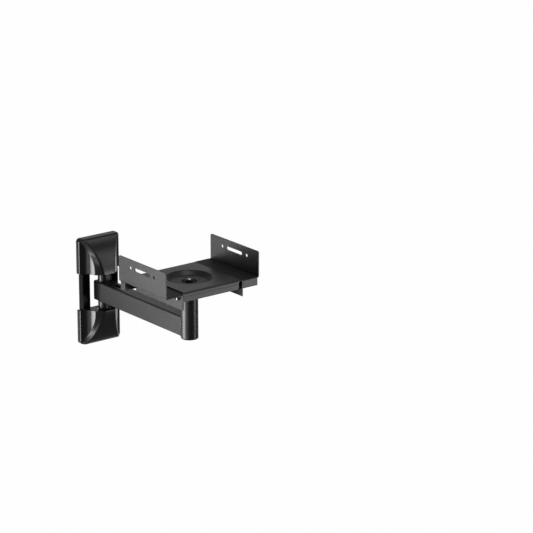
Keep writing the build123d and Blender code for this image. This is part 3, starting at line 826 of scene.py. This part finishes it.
    def _near_wall(self) -> Shape:
        """The end wall next to the arm, a ring between the cover's outline and the sleeve's hole.

        Each line of the ring runs from the outline towards one point inside the hole and stops on
        the hole's circle, so that no two lines cross.
        """
        across, depth, level = self._section_grid()
        depth = np.maximum(depth[0], self.plate_gap)
        rear = np.linspace(across[0, -1], across[0, 0], self.steps.rear)[1:-1]
        outer_x = np.concatenate([across[0], rear])
        outer_d = np.concatenate([depth, np.full(len(rear), self.plate_gap)])
        span = np.hypot(outer_x, outer_d - self.aim_d)
        way_x, way_d = outer_x / span, (outer_d - self.aim_d) / span
        rise = self.pivot_d - self.aim_d
        reach = rise * way_d + np.sqrt(self.hole_r ** 2 - (rise * way_x) ** 2)
        share = np.linspace(0.0, 1.0, self.steps.ring)[:, None]
        ring_x = outer_x * (1 - share) + way_x * reach * share
        ring_d = outer_d * (1 - share) + (self.aim_d + way_d * reach) * share
        points = np.stack([ring_x, -ring_d, np.full_like(ring_x, self.near)], axis=2)
        return Shape(points.reshape(-1, 3), grid_faces(*points.shape[:2], closed=True)[:, ::-1])


# Studio


@dataclass(frozen=True)
class SoftBox:
    """A square lamp that faces the bracket.

    Attributes:
        name: The lamp's name.
        azimuth: Degrees from the room side, positive towards the bracket's left.
        elevation: Degrees above the level of the tray.
        distance: Metres from the bracket's middle.
        size: Side in metres.
        radiance: Brightness of the lamp's face, where a white floor is about 1.
    """

    name: str
    azimuth: float
    elevation: float
    distance: float
    size: float
    radiance: float

    def build(self, target: Vector) -> None:
        """Places the lamp round the target and turns it to face it.

        Args:
            target: The bracket's middle, in metres.
        """
        turn, lift = math.radians(self.azimuth), math.radians(self.elevation)
        away = Vector((-math.sin(turn) * math.cos(lift), -math.cos(turn) * math.cos(lift), math.sin(lift)))
        data = bpy.data.lights.new(self.name, "AREA")
        data.shape = "SQUARE"
        data.size = self.size
        data.energy = self.radiance * math.pi * self.size ** 2
        lamp = bpy.data.objects.new(self.name, data)
        lamp.location = target + away * self.distance
        lamp.rotation_euler = away.to_track_quat("Z", "Y").to_euler()
        bpy.context.scene.collection.objects.link(lamp)


@dataclass
class Studio:
    """The floor, the world, the lamps and the camera.

    Attributes:
        floor_z: Floor height, in millimetres.
        floor_half: Half the floor's side, in metres.
        floor_grey: Colour of the floor where it doesn't show white.
        white_share: Share of white where it does, which leaves the shadow a little.
        white_from: Where the floor's white begins for reflections, in metres behind the wall.
        white_left: Where that white ends on the left, in metres across.
        camera_place: Camera position, in millimetres.
        camera_turn: Degrees from the room side towards the bracket's left.
        camera_drop: Degrees that the camera looks down.
        lens: Focal length.
        sensor: Width of the camera's sensor.
        view_reach: Furthest distance that the camera sees, in metres.
        target: The bracket's middle, which the lamps face.
        world: Brightness of the world.
        lamps: The lamps round the bracket.
    """

    floor_z: float = -1100.0
    floor_half: float = 30.0
    floor_grey: float = 0.3
    white_share: float = 0.99
    white_from: float = 0.25
    white_left: float = -1.0
    camera_place: Tuple[float, float, float] = (-3172.3, -4640.6, 1790.3)
    camera_turn: float = 37.8
    camera_drop: float = 17.3
    lens: float = 200.0
    sensor: float = 36.0
    view_reach: float = 100.0
    target: Tuple[float, float, float] = (0.0, -200.0, 60.0)
    world: float = 0.16
    lamps: Sequence[SoftBox] = (
        SoftBox("left", 112.0, -16.0, 2.6, 1.9, 9.5),
        SoftBox("left_front", 66.0, -12.0, 2.6, 0.8, 2.0),
        SoftBox("right_low", -38.0, -12.0, 2.6, 0.8, 4.2),
        SoftBox("right_high", -38.0, 14.0, 2.6, 0.8, 1.4),
        SoftBox("fold", -60.0, 46.0, 2.6, 1.0, 0.9),
        SoftBox("top", 0.0, 75.0, 2.6, 1.4, 1.8),
        SoftBox("back", -142.0, 25.0, 2.6, 1.2, 0.35),
    )

    def build(self) -> None:
        """Builds everything that isn't part of the bracket."""
        self._camera()
        self._world()
        self._floor()
        for lamp in self.lamps:
            lamp.build(Vector(self.target) * MM)
        bpy.context.scene.view_settings.view_transform = "Standard"

    def _camera(self) -> None:
        """Places the camera at the photograph's viewing angle."""
        turn, drop = math.radians(self.camera_turn), math.radians(self.camera_drop)
        back = Vector((-math.sin(turn) * math.cos(drop), -math.cos(turn) * math.cos(drop), math.sin(drop)))
        data = bpy.data.cameras.new("camera")
        data.lens = self.lens
        data.sensor_width = self.sensor
        data.clip_end = self.view_reach
        camera = bpy.data.objects.new("camera", data)
        camera.location = Vector(self.camera_place) * MM
        camera.rotation_euler = back.to_track_quat("Z", "Y").to_euler()
        bpy.context.scene.collection.objects.link(camera)
        bpy.context.scene.camera = camera

    def _seen(self, maker: NodeMaker) -> Wire:
        """Where the floor shows white, one or nought.

        Camera and transmission rays see all of the floor white. Glossy rays see it white where it
        is the photograph's background, behind the wall's plane, and plain elsewhere, as if the
        front and the left of the studio were dark.
        """
        path = maker.tree.nodes.new("ShaderNodeLightPath")
        camera, through, glossy = (Wire(maker, path.outputs[f"Is {kind} Ray"])
                                   for kind in ("Camera", "Transmission", "Glossy"))
        depth = maker.node("ShaderNodeSeparateXYZ", {}, {0: maker.object_coordinates()}, "Y")
        across = maker.node("ShaderNodeSeparateXYZ", {}, {0: maker.object_coordinates()}, "X")
        behind = (depth > self.white_from) * (across > self.white_left)
        return camera + through + glossy * behind > 0.5

    def _world(self) -> None:
        """A plain world of one level."""
        world = bpy.data.worlds.new("studio")
        world.use_nodes = True
        bpy.context.scene.world = world
        maker = NodeMaker(world.node_tree)
        glow = maker.node("ShaderNodeBackground", {}, {"Color": grey(1.0), "Strength": self.world})
        maker.node("ShaderNodeOutputWorld", {}, {"Surface": glow})

    def _floor(self) -> None:
        """A wide pale floor that shows white and keeps the bracket's shadow."""
        material = bpy.data.materials.new("pale_floor")
        material.use_nodes = True
        maker = NodeMaker(material.node_tree)
        seen = self._seen(maker)
        plain = maker.node("ShaderNodeBsdfDiffuse", {}, {"Color": grey(self.floor_grey)})
        shown = maker.node("ShaderNodeEmission", {}, {"Color": grey(1.0), "Strength": 1.0})
        both = maker.node("ShaderNodeMixShader", {}, {0: seen * self.white_share, 1: plain, 2: shown})
        maker.node("ShaderNodeOutputMaterial", {}, {"Surface": both})
        half, level = self.floor_half, self.floor_z * MM
        mesh = bpy.data.meshes.new("floor")
        corners = [(-half, -half, level), (half, -half, level), (half, half, level), (-half, half, level)]
        mesh.from_pydata(corners, [], [(0, 1, 2, 3)])
        mesh.materials.append(material)
        floor = bpy.data.objects.new("floor", mesh)
        bpy.context.scene.collection.objects.link(floor)


def main() -> None:
    """Builds the bracket's looks and the studio."""
    MetalWork().build()
    ArmWelds().build()
    MouldedCover().build()
    Studio().build()


if __name__ == "__main__":
    main()
